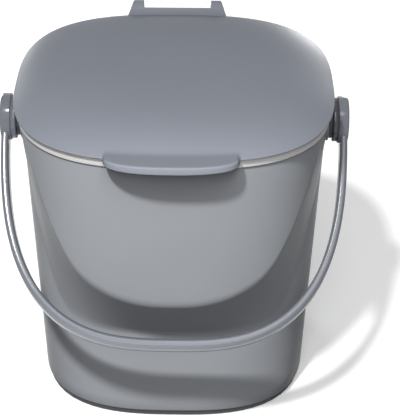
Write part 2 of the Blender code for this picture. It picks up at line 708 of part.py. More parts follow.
def build_stud(name, side):
    """A flanged stud: snapped through the wall inside, a journal for the handle outside."""
    flange_in = boss_face_x() + GAP
    flange_out = stud_flange_x()
    head_out = stand_sizes(PIVOT_Z - STUD_HEAD_RADIUS)[0] - WALL - GAP
    head_in = head_out - STUD_HEAD_THICKNESS
    tip = flange_out + GAP + JOURNAL_DEPTH
    profile = [(head_in, STUD_SPIGOT_RADIUS), (head_out - STUD_EDGE, STUD_HEAD_RADIUS),
               (head_out, STUD_HEAD_RADIUS), (head_out, STUD_SPIGOT_RADIUS),
               (flange_in, STUD_SPIGOT_RADIUS), (flange_in, STUD_FLANGE_RADIUS),
               (flange_out, STUD_FLANGE_RADIUS), (flange_out, JOURNAL_RADIUS),
               (tip - STUD_EDGE, JOURNAL_RADIUS), (tip, JOURNAL_RADIUS - STUD_EDGE)]
    bm = lathe_x(profile, side, MID_Y, PIVOT_Z, PIVOT_SIDES)
    return add_object(name, bm, material(name + "_plastic", DARK_GREY), (0.0, MID_Y, PIVOT_Z))


def main():
    for ob in list(bpy.data.objects):
        bpy.data.objects.remove(ob)
    build_bucket()
    build_foot_ring()
    build_rim_ring()
    build_hinge_pin()
    build_lid()
    build_handle()
    build_stud("left_pivot_stud", -1)
    build_stud("right_pivot_stud", 1)
    for ob in bpy.data.objects:
        print(ob.name, "faces", len(ob.data.polygons), "size", tuple(round(v, 4) for v in ob.dimensions))


main()
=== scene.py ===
# %% [markdown]
# # A kitchen compost bin, dressed for its picture
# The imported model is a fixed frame: every piece is already the right size and in the right place.
# This script gives the pieces their finish, and makes the big mouldings again with finer faces and
# softer edges, because a real moulding has no sharp corner and its edges catch the light.

# %% Load the frame
import math

import bmesh
import bpy
from mathutils import Matrix, Vector


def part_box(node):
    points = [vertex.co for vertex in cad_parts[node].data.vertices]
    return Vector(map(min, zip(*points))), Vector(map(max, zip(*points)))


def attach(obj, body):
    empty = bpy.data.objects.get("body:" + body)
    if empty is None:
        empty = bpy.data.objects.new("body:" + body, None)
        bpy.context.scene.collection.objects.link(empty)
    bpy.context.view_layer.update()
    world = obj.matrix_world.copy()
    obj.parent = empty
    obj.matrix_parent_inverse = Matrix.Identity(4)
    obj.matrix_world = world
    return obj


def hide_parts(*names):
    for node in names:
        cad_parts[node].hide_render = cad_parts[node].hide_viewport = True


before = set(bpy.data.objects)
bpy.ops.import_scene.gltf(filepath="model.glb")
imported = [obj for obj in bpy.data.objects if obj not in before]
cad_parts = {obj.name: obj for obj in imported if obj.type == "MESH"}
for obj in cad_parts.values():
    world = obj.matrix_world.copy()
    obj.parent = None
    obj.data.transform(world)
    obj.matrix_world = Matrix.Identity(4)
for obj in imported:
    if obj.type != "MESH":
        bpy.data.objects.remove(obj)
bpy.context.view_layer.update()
print("nodes", sorted(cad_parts))

# %% [markdown]
# ## Camera
# The photograph looks down on the front by about a third of a right angle, from less than a
# metre away, which makes the base look narrower than the rim. The camera stands back from the
# middle of the bin along that line, and a small shift frames the bin as the photograph does.

# %% Place the camera
MID_Y = 0.0019244  # the middle of the mouth: the grip in front puts it a little behind the origin
LOOK_AT = Vector((0.0, MID_Y, 0.095))
DISTANCE = 0.9
AZIMUTH = math.radians(1.15)
ELEVATION = math.radians(33.69)
SENSOR_MM = 36
LENS_MM = 123.93
SHIFT_RIGHT = 0.061
SHIFT_UP = 0.0323
back = Vector((math.sin(AZIMUTH) * math.cos(ELEVATION), -math.cos(AZIMUTH) * math.cos(ELEVATION),
               math.sin(ELEVATION)))

camera_data = bpy.data.cameras.new("camera")
camera_data.sensor_width = SENSOR_MM
camera_data.lens = LENS_MM
camera_data.shift_x = SHIFT_RIGHT
camera_data.shift_y = SHIFT_UP
camera = bpy.data.objects.new("camera", camera_data)
camera.location = LOOK_AT + back * DISTANCE
camera.rotation_euler = back.to_track_quat("Z", "Y").to_euler()
bpy.context.scene.collection.objects.link(camera)
bpy.context.scene.camera = camera
print("camera", tuple(round(v, 3) for v in camera.location))

# %% [markdown]
# ## Light
# The shadows fall to the right and to the back, so the main lamp hangs in front, to the left and
# high up. It is far away for its size, which keeps the shadow under the lift tab crisp. Two soft
# fills, one to the right and one lower in front, open that shadow without reaching under the
# panel. Two lamps behind graze the sides, as the light of a white backdrop does. Two small ones low
# in front are for the lid and the handle, and are hidden from reflections, where each would show as
# a bright disc. Where the camera or a reflection looks at the world, it is plain white, like a
# studio's backdrop.

# %% Hang the lamps
WARM_WHITE = (1.0, 0.975, 0.94)


def soft_lamp(name, direction, distance, size, power):
    """A round area lamp that faces the bin, in metres and watts."""
    lamp_data = bpy.data.lights.new(name, "AREA")
    lamp_data.shape = "DISK"
    lamp_data.size = size
    lamp_data.energy = power
    lamp = bpy.data.objects.new(name, lamp_data)
    towards = Vector(direction).normalized()
    lamp.location = LOOK_AT + towards * distance
    lamp.rotation_euler = towards.to_track_quat("Z", "Y").to_euler()
    lamp.visible_camera = False
    bpy.context.scene.collection.objects.link(lamp)
    print(name, tuple(round(v, 2) for v in lamp.location))
    return lamp


soft_lamp("main_lamp", (-0.26, -0.60, 1.06), distance=1.6, size=0.12, power=23.5)
soft_lamp("right_fill", (0.14, -0.66, 1.1), distance=1.3, size=0.5, power=4.8)
soft_lamp("front_fill", (0.0, -1.0, 0.75), distance=1.1, size=0.5, power=3.2)
soft_lamp("left_rim", (-0.50, 0.86, 0.08), distance=1.0, size=0.3, power=5.0)
soft_lamp("right_rim", (0.36, 0.93, 0.08), distance=1.0, size=0.3, power=2.6)
lid_lamp = soft_lamp("lid_lamp", (-0.02, -0.422, 0.215), distance=0.474, size=0.18, power=3.0)
lid_lamp.data.color = WARM_WHITE
handle_lamp = soft_lamp("handle_lamp", (-0.06, -0.322, -0.083), distance=0.338, size=0.03, power=1.0)
for lamp in (lid_lamp, handle_lamp):
    lamp.visible_glossy = False

# %% Give the world a dim light and a white look
COOL_WHITE = (0.97, 0.98, 1.0, 1.0)
WORLD_LIGHT = 0.09

world = bpy.data.worlds.new("studio")
bpy.context.scene.world = world
world.use_nodes = True
tree = world.node_tree
tree.nodes.clear()
world_out = tree.nodes.new("ShaderNodeOutputWorld")
seen = tree.nodes.new("ShaderNodeBackground")
seen.inputs["Color"].default_value = (1.0, 1.0, 1.0, 1.0)
seen.inputs["Strength"].default_value = 1.0
lighting = tree.nodes.new("ShaderNodeBackground")
lighting.inputs["Color"].default_value = COOL_WHITE
lighting.inputs["Strength"].default_value = WORLD_LIGHT


def seen_rays(node_tree):
    """1 for rays from the camera, reflections and glass, else 0."""
    path = node_tree.nodes.new("ShaderNodeLightPath")
    first = node_tree.nodes.new("ShaderNodeMath")
    first.operation = "MAXIMUM"
    node_tree.links.new(path.outputs["Is Camera Ray"], first.inputs[0])
    node_tree.links.new(path.outputs["Is Glossy Ray"], first.inputs[1])
    second = node_tree.nodes.new("ShaderNodeMath")
    second.operation = "MAXIMUM"
    node_tree.links.new(first.outputs[0], second.inputs[0])
    node_tree.links.new(path.outputs["Is Transmission Ray"], second.inputs[1])
    return second.outputs[0]


world_mix = tree.nodes.new("ShaderNodeMixShader")
tree.links.new(seen_rays(tree), world_mix.inputs[0])
tree.links.new(lighting.outputs[0], world_mix.inputs[1])
tree.links.new(seen.outputs[0], world_mix.inputs[2])
tree.links.new(world_mix.outputs[0], world_out.inputs["Surface"])
bpy.context.scene.view_settings.view_transform = "Standard"

# %% [markdown]
# ## Floor
# The bin stands on a white sweep. To the camera and to reflections the floor adds a little light
# of its own, so that it is white where the lamp reaches it and still shows the bin's shadow. To
# light that bounces it is a dark grey, because a white floor would light the chin under the panel,
# which is dark in the photograph.

# %% Lay the floor
FLOOR_HALF_SIDE = 3.0
FLOOR_CLEARANCE = 0.0003
PAPER_WHITE = (0.90, 0.90, 0.90, 1.0)
BOUNCE_GREY = (0.04, 0.04, 0.045, 1.0)
FLOOR_GLOW = 0.20

floor_bm = bmesh.new()
bmesh.ops.create_grid(floor_bm, x_segments=1, y_segments=1, size=FLOOR_HALF_SIDE)
floor_mesh = bpy.data.meshes.new("floor")
floor_bm.to_mesh(floor_mesh)
floor_bm.free()
floor = bpy.data.objects.new("floor", floor_mesh)
bpy.context.scene.collection.objects.link(floor)
floor.location = (0.0, 0.0, -FLOOR_CLEARANCE)
floor_material = bpy.data.materials.new("white_sweep")
floor_material.use_nodes = True
tree = floor_material.node_tree
tree.nodes.clear()
floor_out = tree.nodes.new("ShaderNodeOutputMaterial")
bounce = tree.nodes.new("ShaderNodeBsdfDiffuse")
bounce.inputs["Color"].default_value = BOUNCE_GREY
paper = tree.nodes.new("ShaderNodeBsdfDiffuse")
paper.inputs["Color"].default_value = PAPER_WHITE
glow = tree.nodes.new("ShaderNodeEmission")
glow.inputs["Strength"].default_value = FLOOR_GLOW
lit = tree.nodes.new("ShaderNodeAddShader")
tree.links.new(paper.outputs[0], lit.inputs[0])
tree.links.new(glow.outputs[0], lit.inputs[1])
floor_mix = tree.nodes.new("ShaderNodeMixShader")
tree.links.new(seen_rays(tree), floor_mix.inputs[0])
tree.links.new(bounce.outputs[0], floor_mix.inputs[1])
tree.links.new(lit.outputs[0], floor_mix.inputs[2])
tree.links.new(floor_mix.outputs[0], floor_out.inputs["Surface"])
floor_mesh.materials.append(floor_material)

# %% [markdown]
# ## Moulded plastic
# Polypropylene from a mould has a satin skin: a very fine grain from the mould's surface, a
# slightly uneven gloss, and a colour that drifts by a few hundredths. All three come from noise
# on the object's own coordinates, so the pattern stays put when a piece moves.

# %% Make a moulded plastic
DRIFT_SCALE = 14.0
SMEAR_SCALE = 45.0
COLOUR_DRIFT = 0.025
GLOSS_DRIFT = 0.03
GRAIN_STRENGTH = 0.35


def moulded_plastic(name, colour, roughness, gloss_level, grain_size, grain_depth):
    """Satin plastic with fine grain, uneven gloss and a slight drift of colour."""
    material = bpy.data.materials.new(name)
    material.use_nodes = True
    nodes = material.node_tree.nodes
    links = material.node_tree.links
    shader = nodes["Principled BSDF"]
    shader.inputs["Specular IOR Level"].default_value = gloss_level
    place = nodes.new("ShaderNodeTexCoord")

    def noise(scale, detail):
        texture = nodes.new("ShaderNodeTexNoise")
        texture.inputs["Scale"].default_value = scale
        texture.inputs["Detail"].default_value = detail
        links.new(place.outputs["Object"], texture.inputs["Vector"])
        return texture.outputs["Fac"]

    drift = noise(DRIFT_SCALE, 3.0)
    tint = nodes.new("ShaderNodeValToRGB")
    low_end, high_end = tint.color_ramp.elements
    low_end.position, high_end.position = 0.25, 0.75
    low_end.color = (*[c * (1 - COLOUR_DRIFT) for c in colour], 1.0)
    high_end.color = (*[c * (1 + COLOUR_DRIFT) for c in colour], 1.0)
    links.new(drift, tint.inputs["Fac"])
    links.new(tint.outputs["Color"], shader.inputs["Base Color"])
    gloss = nodes.new("ShaderNodeMapRange")
    gloss.inputs["To Min"].default_value = roughness - GLOSS_DRIFT
    gloss.inputs["To Max"].default_value = roughness + GLOSS_DRIFT
    links.new(noise(SMEAR_SCALE, 4.0), gloss.inputs["Value"])
    links.new(gloss.outputs["Result"], shader.inputs["Roughness"])
    grain = noise(1.0 / grain_size, 2.0)
    bump = nodes.new("ShaderNodeBump")
    bump.inputs["Strength"].default_value = GRAIN_STRENGTH
    bump.inputs["Distance"].default_value = grain_depth
    links.new(grain, bump.inputs["Height"])
    links.new(bump.outputs["Normal"], shader.inputs["Normal"])
    return material


body_plastic = moulded_plastic("body_satin", (0.374, 0.389, 0.413), roughness=0.30, gloss_level=0.015,
                               grain_size=0.0009, grain_depth=0.00002)
lid_plastic = moulded_plastic("lid_satin", (0.112, 0.121, 0.141), roughness=0.36, gloss_level=0.04,
                              grain_size=0.0008, grain_depth=0.00003)
handle_plastic = moulded_plastic("handle_gloss", (0.104, 0.111, 0.127), roughness=0.15, gloss_level=0.25,
                                 grain_size=0.0008, grain_depth=0.00001)
ring_plastic = moulded_plastic("ring_satin", (0.75, 0.735, 0.72), roughness=0.45, gloss_level=0.4,
                               grain_size=0.0008, grain_depth=0.00003)
# The foot ring's near-black colour is painted shade: it stands for the shade under the bucket's lower
# edge.
foot_painted_shade = moulded_plastic("foot_matt_painted_shade", (0.075, 0.080, 0.088), roughness=0.60, gloss_level=0.35,
                              grain_size=0.0006, grain_depth=0.00005)
# The pivot studs' near-black colour is painted shade: it stands for the shade in the narrow gap between
# each pad and the bucket's wall.
stud_painted_shade = moulded_plastic("stud_matt_painted_shade", (0.040, 0.043, 0.050), roughness=0.50, gloss_level=0.4,
                               grain_size=0.0006, grain_depth=0.00003)

# %% [markdown]
# The hinge pin is steel wire. A metal has no colour of its own under the shine: all that it shows
# is reflected, and the same fine grain blurs it.

# %% Make the pin's steel
pin_steel = moulded_plastic("drawn_steel", (0.42, 0.42, 0.42), roughness=0.34, gloss_level=0.5,
                            grain_size=0.0006, grain_depth=0.00002)
pin_steel.node_tree.nodes["Principled BSDF"].inputs["Metallic"].default_value = 1.0
print("finishes", [material.name for material in bpy.data.materials])

# %% [markdown]
# ## Loops that grow
# The bucket, the lid, the ring and the handle are all skins drawn over a row of closed loops. Each
# starts as a circle of vertices moved onto its first outline. Extruding the loop's edges gives the
# next loop, which moves onto the next outline. A number on each vertex says which column it is in,
# so an extruded vertex knows its place.

# %% Start a loop, grow it and close it


def start_loop(bm, points):
    """A closed loop on the points given, each vertex marked with its column."""
    column = bm.verts.layers.int.new("column")
    made = bmesh.ops.create_circle(bm, cap_ends=False, segments=len(points), radius=1.0)
    for number, vert in enumerate(made["verts"]):
        vert[column] = number
        vert.co = points[number]
    return bm.edges[:]


def grow_loop(bm, loop, points):
    """Extrude a loop and move the new one onto the next points."""
    column = bm.verts.layers.int["column"]
    made = bmesh.ops.extrude_edge_only(bm, edges=loop)["geom"]
    for item in made:
        if isinstance(item, bmesh.types.BMVert):
            item.co = points[item[column]]
    return [item for item in made if isinstance(item, bmesh.types.BMEdge)]


def skin_over(loops):
    """A closed skin over a row of loops, with a flat face at each end."""
    bm = bmesh.new()
    first = start_loop(bm, loops[0])
    last = first
    for points in loops[1:]:
        last = grow_loop(bm, last, points)
    bmesh.ops.edgeloop_fill(bm, edges=first)
    bmesh.ops.edgeloop_fill(bm, edges=last)
    return bm


def sweep_round(loops):
    """A skin over a row of loops that joins its last loop to its first, like a hoop."""
    bm = bmesh.new()
    first = start_loop(bm, loops[0])
    last = first
    for points in loops[1:]:
        last = grow_loop(bm, last, points)
    bmesh.ops.bridge_loops(bm, edges=first + last)
    return bm


# %% Turn a bmesh into a piece, join pieces and cut them
SHARP = math.radians(38)


def make_object(name, bm, material):
    """An object at the origin, with its place in its mesh and its faces pointing out."""
    bmesh.ops.recalc_face_normals(bm, faces=bm.faces)
    mesh = bpy.data.meshes.new(name)
    bm.to_mesh(mesh)
    bm.free()
    mesh.materials.append(material)
    mesh.shade_smooth()
    mesh.set_sharp_from_angle(angle=SHARP)
    ob = bpy.data.objects.new(name, mesh)
    bpy.context.scene.collection.objects.link(ob)
    return ob


def combine(target, tool_bm, operation):
    """Join a shape to an object or cut it away."""
    tool = make_object("tool", tool_bm, target.data.materials[0])
    modifier = target.modifiers.new("combine", "BOOLEAN")
    modifier.operation = operation
    modifier.solver = "EXACT"
    modifier.object = tool
    bpy.context.view_layer.update()
    graph = bpy.context.evaluated_depsgraph_get()
    result = bpy.data.meshes.new_from_object(target.evaluated_get(graph))
    old = target.data
    target.modifiers.clear()
    target.data = result
    bpy.data.meshes.remove(old)
    tool_mesh = tool.data
    bpy.data.objects.remove(tool)
    bpy.data.meshes.remove(tool_mesh)
    target.data.name = target.name
    target.data.shade_smooth()
    target.data.set_sharp_from_angle(angle=SHARP)


def fit_piece(ob, body, node):
    """Put a finished piece in the place of a node of the frame."""
    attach(ob, body)
    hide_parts(node)
    low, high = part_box(node)
    corners = [ob.matrix_world @ Vector(c) for c in ob.bound_box]
    mine = [max(c[i] for c in corners) - min(c[i] for c in corners) for i in range(3)]
    theirs = [high[i] - low[i] for i in range(3)]
    print(ob.name, "faces", len(ob.data.polygons), "size mm", [round(v * 1000, 1) for v in mine],
          "node", [round(v * 1000, 1) for v in theirs])


def rod(start_x, end_x, radius, y, z, sides):
    """A round rod along X, as a shape to join or to cut with."""
    bm = bmesh.new()
    place = Matrix.Translation(((start_x + end_x) / 2, y, z)) @ Matrix.Rotation(math.radians(90), 4, "Y")
    bmesh.ops.create_cone(bm, cap_ends=True, segments=sides, radius1=radius, radius2=radius,
                          depth=abs(end_x - start_x), matrix=place)
    return bm


def block(low, high):
    """A box between two corners, as a shape to cut with."""
    bm = bmesh.new()
    size = Vector(high) - Vector(low)
    place = Matrix.Translation((Vector(high) + Vector(low)) / 2) @ Matrix.Diagonal((*size, 1.0))
    bmesh.ops.create_cube(bm, size=1.0, matrix=place)
    return bm


# %% [markdown]
# ## Outlines
# From above, every moulding has the same squarish outline: a superellipse, which is an ellipse with
# a higher power than 2. The lower wall and the panel have their own depths in front.

# %% Draw the squarish outline
RIM_HALF_WIDTH = 0.0905
RIM_HALF_DEPTH = 0.0875
OUTLINE_POWER = 2.8
COLUMNS = 240
SHOULDER_Z = 0.1875


def squircle(angle, half_width, front, rear):
    """A point of a squarish outline at a polar angle."""
    depth = front if math.sin(angle) < 0 else rear
    reach = ((abs(math.cos(angle)) / half_width) ** OUTLINE_POWER
             + (abs(math.sin(angle)) / depth) ** OUTLINE_POWER) ** (-1 / OUTLINE_POWER)
    return reach * math.cos(angle), reach * math.sin(angle)


def even_angles(count=COLUMNS):
    return [2 * math.pi * (i + 0.5) / count for i in range(count)]


def rim_loop(offset, z):
    """The rim's outline moved outwards by an offset, at a height."""
    points = []
    for angle in even_angles():
        x, y = squircle(angle, RIM_HALF_WIDTH + offset, RIM_HALF_DEPTH + offset, RIM_HALF_DEPTH + offset)
        points.append((x, y + MID_Y, z))
    return points


def mix(a, b, share):
    return a + (b - a) * share


def smooth_step(value, low, high):
    t = min(1.0, max(0.0, (value - low) / (high - low)))
    return t * t * (3 - 2 * t)


print("rim outline, first point", [round(v, 4) for v in rim_loop(0.0, SHOULDER_Z)[0]])

# %% [markdown]
# ## Bucket
# One moulding: a lower wall, and a front panel that overhangs it. The panel ends below in a
# U-shaped crease, and a sloping chin runs from there back to the lower wall. Both lines are tables
# of heights across the front, read with a smooth curve. The crease and the foot of the chin are
# bends, not corners, so the rows of points turn round them on short curves.

# %% Heights of the crease and of the foot of the chin
CREASE_Z = 0.0950
JUNCTION_Z = 0.0595
CREASE_TABLE = ((0.0, 0.0), (0.22, 0.017), (0.44, 0.087), (0.62, 0.212), (0.75, 0.442), (0.87, 0.762),
                (0.945, 1.0))
JUNCTION_TABLE = ((0.0, 0.0), (0.33, 0.005), (0.5, 0.018), (0.62, 0.038), (0.70, 0.070), (0.758, 0.131),
                  (0.824, 0.265), (0.878, 0.423), (0.943, 0.641), (0.968, 0.775), (0.99, 1.0))
CREASE_SIDE_DROP = 0.0030
JUNCTION_SIDE_DROP = 0.0080
CURVE_HALVINGS = 24
STAND_SET_BACK_TOP = 0.0376
STAND_SET_BACK_FOOT = 0.0132
STAND_SIDE_TAPER = 0.0080
PANEL_SIDE_TAPER = 0.0045
REAR_TAPER = 0.0070


def read_table(table, across):
    """A smooth curve through the table's points."""
    if across >= table[-1][0]:
        return 1.0
    last = len(table) - 1
    slopes = [0.0]
    for i in range(1, last + 1):
        after = min(i + 1, last)
        slopes.append((table[after][1] - table[i - 1][1]) / (table[after][0] - table[i - 1][0]))
    i = max(k for k in range(last) if table[k][0] <= across)
    span = table[i + 1][0] - table[i][0]
    t = (across - table[i][0]) / span
    rise = table[i][1] * (1 + 2 * t) * (1 - t) ** 2 + table[i + 1][1] * t * t * (3 - 2 * t)
    return rise + span * (slopes[i] * t * (1 - t) ** 2 - slopes[i + 1] * t * t * (1 - t))


def stand_sizes(z):
    """Half width, front and rear of the lower wall."""
    down = 1 - z / SHOULDER_Z
    set_back = mix(STAND_SET_BACK_TOP, STAND_SET_BACK_FOOT, down)
    return (RIM_HALF_WIDTH - STAND_SIDE_TAPER * down, RIM_HALF_DEPTH - set_back,
            RIM_HALF_DEPTH - REAR_TAPER * down)


def panel_sizes(z):
    """Half width, front and rear of the panel."""
    down = 1 - z / SHOULDER_Z
    return RIM_HALF_WIDTH - PANEL_SIDE_TAPER * down, RIM_HALF_DEPTH, RIM_HALF_DEPTH - REAR_TAPER * down


def wall_point(sizes, angle, z, offset):
    """A point of the lower wall or the panel, moved outwards by an offset."""
    half_width, front, rear = sizes(z)
    x, y = squircle(angle, half_width + offset, front + offset, rear + offset)
    return Vector((x, y + MID_Y, z))


def curve_height(sizes, angle, low_z, table, side_drop):
    """Where a column of the wall crosses one of the two curves."""
    limit = SHOULDER_Z - side_drop
    if math.sin(angle) > 0:
        return limit
    low, high = low_z, SHOULDER_Z
    for _ in range(CURVE_HALVINGS):
        z = (low + high) / 2
        across = abs(wall_point(sizes, angle, z, 0.0).x) / RIM_HALF_WIDTH
        if mix(low_z, SHOULDER_Z, read_table(table, across)) > z:
            low = z
        else:
            high = z
    return min(z, limit)


def junction_height(angle):
    return curve_height(stand_sizes, angle, JUNCTION_Z, JUNCTION_TABLE, JUNCTION_SIDE_DROP)


def crease_height(angle):
    return curve_height(panel_sizes, angle, CREASE_Z, CREASE_TABLE, CREASE_SIDE_DROP)


print("crease in the middle", round(crease_height(-math.pi / 2), 4))

# %% Rows of points up the bucket's wall
WALL = 0.0024
WALL_FOOT_Z = 0.0042
FOOT_BEND = 0.0030
FOOT_BEND_STEPS = 5
CREASE_BEND_STEPS = 7
PLAIN_ROWS = 8
CHIN_SHARES = (0.22, 0.36, 0.50, 0.64, 0.78, 0.86)


def bend(before, corner, after, steps):
    """Points on a short curve that rounds a corner."""
    points = []
    for i in range(steps + 1):
        t = i / steps
        points.append(before * (1 - t) ** 2 + corner * 2 * t * (1 - t) + after * t * t)
    return points


def wall_column(angle, offset, low_z):
    """Points up one column of the wall, from low_z to just under the shoulder."""
    junction = junction_height(angle)
    crease = crease_height(angle)
    foot = wall_point(stand_sizes, angle, junction, offset)
    lip = wall_point(panel_sizes, angle, crease, offset)
    below = junction - min(FOOT_BEND, 0.3 * (junction - low_z))
    above = mix(crease, SHOULDER_Z, 0.05)
    column = [wall_point(stand_sizes, angle, mix(low_z, below, i / PLAIN_ROWS), offset)
              for i in range(PLAIN_ROWS)]
    column += bend(wall_point(stand_sizes, angle, below, offset), foot, foot.lerp(lip, 0.10),
                   FOOT_BEND_STEPS)
    column += [foot.lerp(lip, share) for share in CHIN_SHARES]
    column += bend(foot.lerp(lip, 0.93), lip, wall_point(panel_sizes, angle, above, offset),
                   CREASE_BEND_STEPS)
    column += [wall_point(panel_sizes, angle, mix(above, SHOULDER_Z, i / PLAIN_ROWS), offset)
               for i in range(1, PLAIN_ROWS)]
    return column


def wall_loops(offset, low_z):
    """The same points as loops, from the lowest up."""
    columns = [wall_column(angle, offset, low_z) for angle in even_angles()]
    return [[column[row] for column in columns] for row in range(len(columns[0]))]


def foot_loop(offset, z):
    """The lower wall's lowest outline, at any height."""
    points = [wall_point(stand_sizes, angle, WALL_FOOT_Z, offset) for angle in even_angles()]
    return [(p.x, p.y, z) for p in points]


# %% Draw the bucket's skin over its loops
FLOOR_UNDER_Z = 0.0072
FLOOR_TOP_Z = 0.0097
FLOOR_ROUND = 0.0025
NECK_OUTER = -0.0020
NECK_INNER = -0.0040
NECK_TOP_Z = 0.1910

loops = [foot_loop(-WALL, FLOOR_UNDER_Z), foot_loop(-WALL, WALL_FOOT_Z), foot_loop(-0.0008, WALL_FOOT_Z),
         foot_loop(-0.00025, 0.00445)]
loops += wall_loops(0.0, 0.0050)
loops += [rim_loop(0.0, SHOULDER_Z), rim_loop(NECK_OUTER, SHOULDER_Z), rim_loop(NECK_OUTER, NECK_TOP_Z),
          rim_loop(NECK_INNER, NECK_TOP_Z), rim_loop(NECK_INNER, SHOULDER_Z - 0.0008)]
loops += list(reversed(wall_loops(-WALL, FLOOR_TOP_Z + FLOOR_ROUND)))
inner_floor = [wall_point(stand_sizes, angle, FLOOR_TOP_Z, -WALL - FLOOR_ROUND) for angle in even_angles()]
loops += [inner_floor, [Vector((p.x * 0.5, (p.y - MID_Y) * 0.5 + MID_Y, p.z)) for p in inner_floor]]
bucket_shell = make_object("bucket_shell", skin_over(loops), body_plastic)

# %% Add the flat bosses for the pivots, with a hole in each
PIVOT_Z = 0.1700
BOSS_RADIUS = 0.0125
BOSS_PROUD = 0.0014
STUD_HOLE_RADIUS = 0.0043
CUT_SLACK = 0.002

side_x = stand_sizes(PIVOT_Z)[0]
boss_face_x = side_x + BOSS_PROUD
for side in (-1, 1):
    boss = rod(side * (side_x - WALL / 2), side * boss_face_x, BOSS_RADIUS, MID_Y, PIVOT_Z, 64)
    combine(bucket_shell, boss, "UNION")
    hole = rod(side * (side_x - WALL - CUT_SLACK), side * (boss_face_x + CUT_SLACK), STUD_HOLE_RADIUS,
               MID_Y, PIVOT_Z, 48)
    combine(bucket_shell, hole, "DIFFERENCE")
fit_piece(bucket_shell, "bucket", "bucket")

# %% [markdown]
# ## Rim ring
# A light grey ring sits on the bucket's mouth. Its section is an upside-down channel over the
# bucket's neck, with all its outer corners rounded, swept round the rim's outline. Behind, it
# carries the hinge's barrel.

# %% Sweep the ring's section round the rim
RING_BASE_Z = 0.1878
RING_TOP_Z = 0.1933
RING_ROUND = 0.0006
ROUND_OUTER = 0.0003  # offsets of the middles of the rounded corners from the rim's outline
ROUND_INNER = -0.0054
RING_INNER = -0.0060
CHANNEL_OUTER = -0.0016
CHANNEL_INNER = -0.0044
CHANNEL_TOP_Z = 0.1913
SKIRT_Z = 0.1806


def round_corner(corner_offset, corner_z, radius, start, steps=4):
    """Offsets and heights round a corner of the ring's section, a quarter turn."""
    points = []
    for i in range(steps + 1):
        turn = math.radians(start + 90 * i / steps)
        points.append((corner_offset + radius * math.cos(turn), corner_z + radius * math.sin(turn)))
    return points


section = [(CHANNEL_OUTER, RING_BASE_Z)]
section += round_corner(ROUND_OUTER, RING_BASE_Z + RING_ROUND, RING_ROUND, -90)
section += round_corner(ROUND_OUTER, RING_TOP_Z - RING_ROUND, RING_ROUND, 0)
section += round_corner(ROUND_INNER, RING_TOP_Z - RING_ROUND, RING_ROUND, 90)
section += [(RING_INNER, SKIRT_Z), (CHANNEL_INNER, SKIRT_Z), (CHANNEL_INNER, CHANNEL_TOP_Z),
            (CHANNEL_OUTER, CHANNEL_TOP_Z)]
ring_shell = make_object("ring_shell", sweep_round([rim_loop(o, z) for o, z in section]), ring_plastic)

# %% Add the hinge's barrel behind
HINGE_Y = 0.0970 + MID_Y
HINGE_Z = 0.1965
BARREL_HALF_LENGTH = 0.0210
BARREL_RADIUS = 0.0040
PIN_HOLE_RADIUS = 0.0018

web = block((-BARREL_HALF_LENGTH, RIM_HALF_DEPTH - 0.0007 + MID_Y, RING_TOP_Z - 0.0047),
            (BARREL_HALF_LENGTH, HINGE_Y, RING_TOP_Z - 0.00025))
combine(ring_shell, web, "UNION")
barrel = rod(-BARREL_HALF_LENGTH, BARREL_HALF_LENGTH, BARREL_RADIUS, HINGE_Y, HINGE_Z, 48)
combine(ring_shell, barrel, "UNION")
combine(ring_shell, rod(-0.032, 0.032, PIN_HOLE_RADIUS, HINGE_Y, HINGE_Z, 24), "DIFFERENCE")
fit_piece(ring_shell, "rim", "rim_ring")

# %% [markdown]
# ## Lid
# A shallow dome with a lift tab in front. On the real lid the tab grows out of the dome with a soft
# bend and no seam, so both are one skin here: the outline bulges out where the tab is, and the
# height is the smooth higher one of the dome and the tab's top. More columns stand close together
# at the two ends of the tab, where the outline turns sharply.

# %% Outline of the lid with its tab
LID_BASE_Z = 0.1936
LID_HALF_WIDTH = RIM_HALF_WIDTH + 0.0025
LID_HALF_DEPTH = RIM_HALF_DEPTH + 0.0027
TAB_HALF_WIDTH = 0.0370
TAB_REACH = 0.0142
TAB_ROOT = -RIM_HALF_DEPTH - 0.0005
TAB_POWER = 2.5
EDGE_SEARCH = 0.03
EDGE_HALVINGS = 30
FRONT_TURN = 1.5 * math.pi
LEFT_OUT = (math.radians(11.6), math.radians(25.2))  # from the front, no even columns between these
CLOSE_FROM = 12  # degrees from the front, where the close columns start
CLOSE_SPAN = 12.5
CLOSE_STEPS = 40


def lid_radius(angle):
    """How far the lid's own edge is from the middle."""
    x, y = squircle(angle, LID_HALF_WIDTH, LID_HALF_DEPTH, LID_HALF_DEPTH)
    return math.hypot(x, y)


def tab_level(x, y):
    """Below 1 inside the tab's outline, above 1 outside it."""
    forward = max(0.0, TAB_ROOT - y) / TAB_REACH
    return (abs(x) / TAB_HALF_WIDTH) ** TAB_POWER + forward ** TAB_POWER


def edge_radius(angle):
    """How far the edge of the lid and tab together is from the middle."""
    near = lid_radius(angle)
    if math.sin(angle) > 0 or tab_level(near * math.cos(angle), near * math.sin(angle)) >= 1:
        return near
    far = near + EDGE_SEARCH
    for _ in range(EDGE_HALVINGS):
        middle = (near + far) / 2
        if tab_level(middle * math.cos(angle), middle * math.sin(angle)) < 1:
            near = middle
        else:
            far = middle
    return near


close_turns = [math.radians(CLOSE_FROM + CLOSE_SPAN * i / CLOSE_STEPS) for i in range(CLOSE_STEPS + 1)]
lid_angles = [angle for angle in even_angles(200)
              if not LEFT_OUT[0] < abs(angle - FRONT_TURN) < LEFT_OUT[1]]
lid_angles += [FRONT_TURN + t for t in close_turns] + [FRONT_TURN - t for t in close_turns]
lid_angles.sort()
print("lid columns", len(lid_angles), "edge in front", round(edge_radius(FRONT_TURN), 4))

# %% Height of the lid's top, dome and tab together
LID_EDGE_RISE = 0.0010
DOME_RISE = 0.0088
DOME_POWER = 4.5
TAB_ROOT_RISE = 0.0027
TAB_TIP_RISE = 0.0037
TAB_BEND = 0.0010
TAB_BLEND_REACH = 0.012


def dome_z(share):
    """Height of the dome at a share of the way from its middle to its edge."""
    return LID_BASE_Z + LID_EDGE_RISE + DOME_RISE * (1 - min(share, 1.0) ** DOME_POWER)


